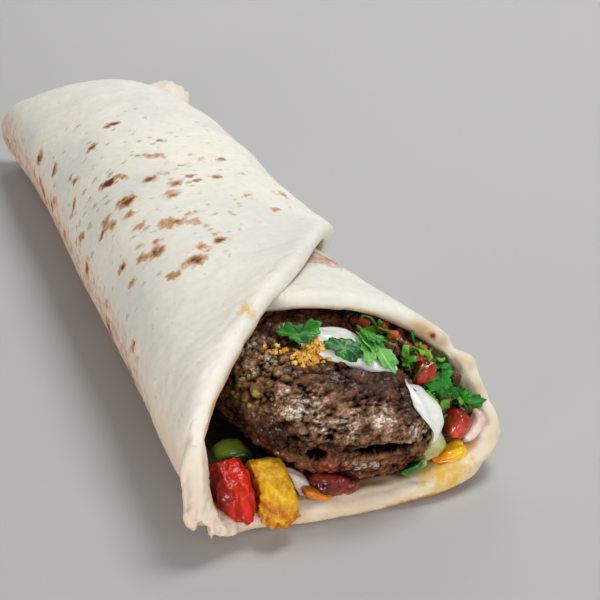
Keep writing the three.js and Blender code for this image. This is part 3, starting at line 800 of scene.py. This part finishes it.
# The spoonful on top: a thick white swath that follows the meat and thins at its edges.
top_low, top_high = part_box("yogurt_top")
bpy.ops.mesh.primitive_uv_sphere_add(segments=72, ring_count=40, radius=1)
spoonful = new_shape("yogurt_top_spooned")
ball = points_of(spoonful)
centre = (top_low + top_high) / 2 + Vector((-1.5, 0.5, 0)) * MM
long_half, short_half = 0.62 * (top_high.x - top_low.x), 0.45 * (top_high.y - top_low.y)
lie = math.radians(-38)
bearing = np.arctan2(ball[:, 1], ball[:, 0])
outline = 1 + 0.1 * np.sin(2 * bearing + 0.6) + 0.09 * np.sin(3 * bearing + 2)
outline += 0.05 * np.sin(7 * bearing + 1)
placed = []
for (x, y, z), out in zip(ball, outline):
    x, y = x * out * long_half, y * out * short_half
    place = Vector((centre.x + x * math.cos(lie) - y * math.sin(lie),
                    centre.y + x * math.sin(lie) + y * math.cos(lie), centre.z))
    ground = ground_under(meat_tree, place)
    ground.z = max(ground.z, top_low.z - 5 * MM)
    thick = 2.9 * MM * z ** 0.6 if z > 0 else 1.6 * MM * z
    placed.append((place.x, place.y, ground.z + thick))
placed = np.array(placed)
move_points(spoonful, placed)
finish_with(spoonful, "SMOOTH", factor=0.6, iterations=16)
placed = points_of(spoonful)
swell(spoonful, placed, 0.45 * bumps(placed, 6 * MM, 53), np.zeros(len(placed)))
stand_for(spoonful, ["yogurt_top"], yogurt)


# ---- Chopped salad ----------------------------------------------------------------------------
core = merged_copy("chopped_salad", "salad_core")
finish_with(core, "REMESH", mode="VOXEL", voxel_size=1.3 * MM)
finish_with(core, "SMOOTH", factor=0.5, iterations=4)
points = points_of(core)
lumps = 1.6 * (grains(points, 5 * MM, 54) - 0.75) + 0.6 * bumps(points, 3 * MM, 55, octaves=2)
swell(core, points, lumps - 1.5, 0.5 + 0.5 * bumps(points, 6 * MM, 56))
# The heap's body is dark brown and olive: painted shade for the depths between the bits.
stand_for(core, ["chopped_salad"],
          flesh_material("salad_juices", "5C4A1E", "34260F", "3E4A16", 3, 0.35, 0.4))

# Bare faces of the heap, at the mouth and at the far end, where there is room above for a bit.
solid_pieces = tree_of(bread, kofta, side, spoonful)
CLEAR_OF_FACE = 0.4 * MM
ROOM_ABOVE = 3.2 * MM
BIT_SPACING = 2.1 * MM
luck = random.Random(11)
mouth_spots, end_spots = [], []
core_low, core_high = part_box("chopped_salad")
core_faces = list(core.data.polygons)
luck.shuffle(core_faces)
for face in core_faces:
    at_mouth = face.center.y < core_low.y + 46 * MM
    at_end = face.center.y > core_high.y - 14 * MM
    if not (at_mouth or at_end):
        continue
    if solid_pieces.ray_cast(face.center + face.normal * CLEAR_OF_FACE, face.normal, ROOM_ABOVE)[0]:
        continue
    if at_mouth and face.center.x < from_mouth(-8, 0, 0).x and face.center.z > 8 * MM:
        continue  # the dark hollow left of the meat stays empty
    if at_mouth and face.center.x < from_mouth(19, 0, 0).x and face.center.z > 34 * MM:
        continue  # and so does the gap over the meat
    spots = mouth_spots if at_mouth else end_spots
    if all((face.center - other[0]).length > BIT_SPACING for other in spots):
        spots.append((face.center.copy(), face.normal.copy()))


def strewn(name, template, spots, size, material, sink=0.3):
    """One piece made of copies of a small shape, each turned its own way and set on its own spot."""
    shape = points_of(template)
    shape_faces = [tuple(face.vertices) for face in template.data.polygons]
    points, faces = [], []
    for place, normal in spots:
        turned = normal.to_track_quat("Z", "Y").to_matrix()
        turned = turned @ Matrix.Rotation(luck.uniform(0, 2 * math.pi), 3, "Z")
        turned = turned @ Matrix.Rotation(luck.uniform(-0.6, 0.6), 3, "X")
        scale = size * MM * luck.uniform(0.75, 1.25)
        base = len(points)
        points += [tuple(turned @ Vector(p) * scale + place + normal * sink * scale) for p in shape]
        faces += [tuple(v + base for v in face) for face in shape_faces]
    mesh = bpy.data.meshes.new(name)
    mesh.from_pydata(points, [], faces)
    piece = bpy.data.objects.new(name, mesh)
    bpy.context.collection.objects.link(piece)
    paint(piece, "shade", np.repeat([luck.random() for _ in spots], len(shape)))
    bpy.data.objects.remove(template)
    stand_for(piece, [], material)


def small_cube(name, cuts, seed, sides, roughness):
    """A hand-cut dice one unit across."""
    bpy.ops.mesh.primitive_cube_add(size=1)
    dice = new_shape(name)
    finish_with(dice, "BEVEL", width=0.16, segments=2)
    subdivide(dice, np.ones(len(dice.data.polygons), dtype=bool), cuts)
    points = points_of(dice) * np.array(sides)
    move_points(dice, points + normals_of(dice) * (roughness * bumps(points, 0.5, seed, octaves=2))[:, None])
    return dice


def curled_shred(name, seed):
    """A shred of cut leaf, rolled along its length and waved at its edge."""
    bpy.ops.mesh.primitive_grid_add(x_subdivisions=14, y_subdivisions=5, size=1)
    shred = new_shape(name)
    points = points_of(shred)
    x, y = points[:, 0] * 1.5, points[:, 1] * 0.55
    frill = 0.16 * np.sin(x * 9 + seed) * np.abs(y) * 2
    narrowed = y * (1 - 0.5 * (x / 0.75) ** 2 * 0.5)
    move_points(shred, np.stack([x, narrowed, 0.4 * np.sin(x * 3.4) + frill + 0.9 * y ** 2], 1))
    finish_with(shred, "SOLIDIFY", thickness=0.09, offset=0)
    return shred


def herb_outline(bearing, teeth, notch):
    """How far a parsley leaf reaches at an angle from its tip: three lobes with toothed edges."""
    lobes = notch + (1 - notch) * np.abs(np.cos(1.5 * bearing)) ** 0.8
    return lobes * (1 + teeth * np.cos(11 * bearing))


def leaf_blade(name, ring, cuts, teeth, notch, slim, seed):
    """A flat leaf one unit long from middle to tip, its tip along Y, with a fold and a wave."""
    bpy.ops.mesh.primitive_circle_add(vertices=ring, radius=1, fill_type="TRIFAN")
    blade = new_shape(name)
    subdivide(blade, np.ones(len(blade.data.polygons), dtype=bool), cuts)
    points = points_of(blade)
    bearing = np.arctan2(points[:, 0], points[:, 1])
    reach = np.hypot(points[:, 0], points[:, 1]) * herb_outline(bearing, teeth, notch)
    x, y = reach * np.sin(bearing) * slim, reach * np.cos(bearing)
    flat = np.stack([x, y, np.zeros(len(x))], 1)
    wave = 0.14 * bumps(flat, 0.5, seed, octaves=2) + 0.22 * np.abs(x)
    move_points(blade, np.stack([x, y, wave], 1))
    midrib = np.exp(-(x / 0.045) ** 2) * (y > -0.6)
    side_ribs = np.exp(-((np.abs(x) - np.mod(y + 0.4, 0.34) * 1.4) / 0.035) ** 2)
    paint(blade, "rib", np.clip(midrib + 0.6 * side_ribs, 0, 1))
    return blade


def leaf_material(name, pale, deep, rib, sheer=0.3):
    """A fresh herb leaf: waxy, thin enough for light to pass, with paler ribs."""
    material, tree, main = new_material(
        name, Roughness=0.35, IOR=1.42, Subsurface_Weight=sheer,
        Subsurface_Radius=(0.001, 0.003, 0.0005), Subsurface_Scale=0.4)
    solid = node(tree, "TexCoord").outputs["Object"]
    patch = node(tree, "TexNoise", {"Vector": solid, "Scale": 190.0, "Detail": 3.0})
    share = node(tree, "MapRange", {"Value": patch, 1: 0.4, 2: 0.6})
    base = node(tree, "Mix", {0: share, 6: linear(pale), 7: linear(deep)}, data_type="RGBA").outputs[2]
    ribs = node(tree, "Attribute", attribute_name="rib").outputs["Fac"]
    ribs = node(tree, "Math", {0: ribs, 1: 0.5}, operation="MULTIPLY")
    base = node(tree, "Mix", {0: ribs, 6: base, 7: linear(rib)}, data_type="RGBA").outputs[2]
    cells = node(tree, "TexNoise", {"Vector": solid, "Scale": 1500.0, "Detail": 2.0})
    relief = node(tree, "Bump", {"Strength": 0.4, "Distance": 0.2 * MM, "Height": cells})
    feed(main, {"Base Color": base, "Normal": relief})
    return material


parsley = leaf_material("parsley_leaf", "2F9A22", "126214", "8CCB5A")
lettuce = leaf_material("lettuce_leaf", "86BC30", "4E9822", "C4DC7C", 0.4)
browned_meat = flesh_material("meat_bits_browned", "96654A", "5A3020", "3E1C12", 1.2, 0.4, 0.2)
tomato_bits = flesh_material("tomato_bits_raw", "D8452E", "A8200F", "E8714E", 2, 0.22, 0.6)
onion_bits = flesh_material("onion_bits_raw", "F2EBD8", "DDD6B0", "E8D0C4", 2, 0.25, 0.5, sheer=0.5)

kinds = {"lettuce": [], "parsley": [], "meat": [], "tomato": [], "onion": []}
for place, normal in mouth_spots + end_spots:
    green_here = 4 * math.exp(-((place - from_mouth(37, 19, 24)).length / (9 * MM)) ** 2)
    weights = [1.0 + green_here * 0.4, 0.9 + green_here, 0.8, 0.75, 0.5]
    kinds[luck.choices(list(kinds), weights)[0]].append((place, normal))
strewn("lettuce_shreds", curled_shred("shred", 1), kinds["lettuce"], 4.6, lettuce)
strewn("tomato_bits", small_cube("dice", 1, 61, (1, 0.9, 0.8), 0.2), kinds["tomato"], 4.0,
       tomato_bits)
strewn("onion_bits", small_cube("dice", 1, 62, (1.3, 0.6, 0.35), 0.12), kinds["onion"], 3.4,
       onion_bits)
strewn("meat_bits", small_cube("crumb", 2, 63, (1.1, 1, 0.8), 0.5), kinds["meat"], 3.8,
       browned_meat)
bit = leaf_blade("bit", 22, 1, 0.14, 0.4, 0.9, 4)
finish_with(bit, "SOLIDIFY", thickness=0.07, offset=0)
strewn("parsley_chopped", bit, kinds["parsley"], 3.8, parsley, sink=0.45)


# ---- Herbs and crumbs on the meat ----------------------------------------------------------------
topping_tree = tree_of(kofta, spoonful, side, core)


def lay_leaf(name, blade, middle, tip, size, lift, follow, material, fold=0.0):
    """Lays a leaf on what is under it, from its middle towards a tip, and gives it thickness."""
    ground, normal = topping_tree.find_nearest(middle)[:2]
    normal = (normal + UP * 1.2).normalized()
    forward = tip - middle
    forward = (forward - normal * forward.dot(normal)).normalized()
    sideways = forward.cross(normal)
    points = points_of(blade)
    laid = []
    for x, y, z in points:
        flat = ground + (sideways * x + forward * y) * size * MM
        rest = ground_under(topping_tree, flat, normal, 9 * MM)
        rest = flat.lerp(rest, follow)
        laid.append(tuple(rest + normal * (lift + (z + fold * abs(x)) * size) * MM))
    move_points(blade, np.array(laid))
    finish_with(blade, "SMOOTH", factor=0.5, iterations=3)
    finish_with(blade, "SOLIDIFY", thickness=0.3 * MM, offset=0)
    blade.name = blade.data.name = name
    stand_for(blade, [], material)


dark_leaf = leaf_material("parsley_leaf_dark", "1E7A1E", "0C4A14", "3E8A3A")
pale_leaf = leaf_material("coriander_leaf_pale", "79C05C", "4E9C3C", "B4DE96", 0.35)
# Each leaf's blade, where its middle and its tip lie, and how lay_leaf lays it.
for name, blade, middle, tip, *laying in (
    ("parsley_leaf_large", (0.1, 0.5, 0.85, 5), (-1.5, 37, 43), (-7, 42, 43), 7.6, 0.9, 0.7, parsley, 0.15),
    ("parsley_leaf_front", (0.07, 0.72, 0.7, 6), (9.5, 26, 45), (4.5, 29, 45), 6.4, 0.9, 0.75, dark_leaf),
    ("coriander_leaf_long", (0.08, 0.6, 0.5, 7), (21.5, 28, 43), (23, 16, 37), 10, 0.9, 0.65, pale_leaf, 0.2),
    ("coriander_leaf_back", (0.12, 0.5, 0.8, 8), (20.5, 33, 43), (19, 41, 43), 6, 1.6, 0.5, parsley, 0.25),
    ("coriander_leaf_side", (0.1, 0.5, 0.7, 9), (16.5, 27, 42), (15, 20, 40), 5.5, 0.8, 0.7, pale_leaf, 0.2),
):
    lay_leaf(name, leaf_blade("blade", 66, 3, *blade), from_mouth(*middle), from_mouth(*tip), *laying)

crumb_spots = []
for middle, spread, count in ((from_mouth(-9.5, 34, 42), 2.6, 12), (from_mouth(-1.5, 29, 42), 5, 90)):
    for _ in range(count):
        place = middle + Vector((luck.gauss(0, spread * 0.5), luck.gauss(0, spread * 0.35), 0)) * MM
        landing, normal = topping_tree.ray_cast(place + UP * 9 * MM, -UP)[:2]
        if landing is not None:
            crumb_spots.append((landing, normal))
strewn("fried_crumbs", small_cube("crumb", 1, 64, (1.2, 0.9, 0.7), 0.6), crumb_spots, 0.95,
       flesh_material("crumbs_fried_golden", "EFA81E", "D2660C", "F4CE5C", 1.5, 0.4, 0.3))


# ---- Floor, lights and camera ------------------------------------------------------------------
def studio():
    bpy.ops.mesh.primitive_plane_add(size=6, location=(0, 0, 0))
    floor = new_shape("floor")
    material = new_material("floor_grey", Roughness=0.75, Base_Color=linear("BDBDBD"))[0]
    floor.data.materials.append(material)
    floor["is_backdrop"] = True
    world = bpy.data.worlds.new("studio")
    bpy.context.scene.world = world
    world.use_nodes = True
    world.node_tree.nodes["Background"].inputs[0].default_value = linear("F4F6F8")
    world.node_tree.nodes["Background"].inputs[1].default_value = 0.27
    for name, place, size, power, colour in (
        ("key", (0.42, 0.14, 0.95), 0.4, 6.0, "FFFDF9"),
        ("front", (0.4, -0.85, 0.5), 0.4, 1.5, "FFFFFF"),
        ("low_front", (0.2, -1.9, 0.3), 0.5, 8.2, "FFFAF4"),
        ("behind", (0.3, 0.95, 0.6), 0.5, 2.2, "FFFFFF"),
        ("low_left", (-1.5, -1.2, 0.2), 0.5, 16, "FFF8F0"),
    ):
        lamp = bpy.data.objects.new(name, bpy.data.lights.new(name, "AREA"))
        lamp.data.size = size
        lamp.data.energy = power
        lamp.data.color = linear(colour)[:3]
        lamp.location = place
        lamp.rotation_euler = (-Vector(place)).to_track_quat("-Z", "Y").to_euler()
        bpy.context.collection.objects.link(lamp)
    camera = bpy.data.objects.new("camera", bpy.data.cameras.new("camera"))
    bpy.context.collection.objects.link(camera)
    camera.data.lens = 85
    camera.data.sensor_width = 36
    azimuth, elevation, distance = math.radians(-18.86), math.radians(30.33), 0.4626
    back = Vector((math.sin(azimuth) * math.cos(elevation), -math.cos(azimuth) * math.cos(elevation),
                   math.sin(elevation)))
    aim = from_mouth(16, 87.8, 23)
    camera.location = aim + back * distance
    camera.rotation_euler = (-back).to_track_quat("-Z", "Y").to_euler()
    camera.data.clip_start = 0.01
    bpy.context.scene.camera = camera
    bpy.context.scene.view_settings.view_transform = "Standard"


studio()

low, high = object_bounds()
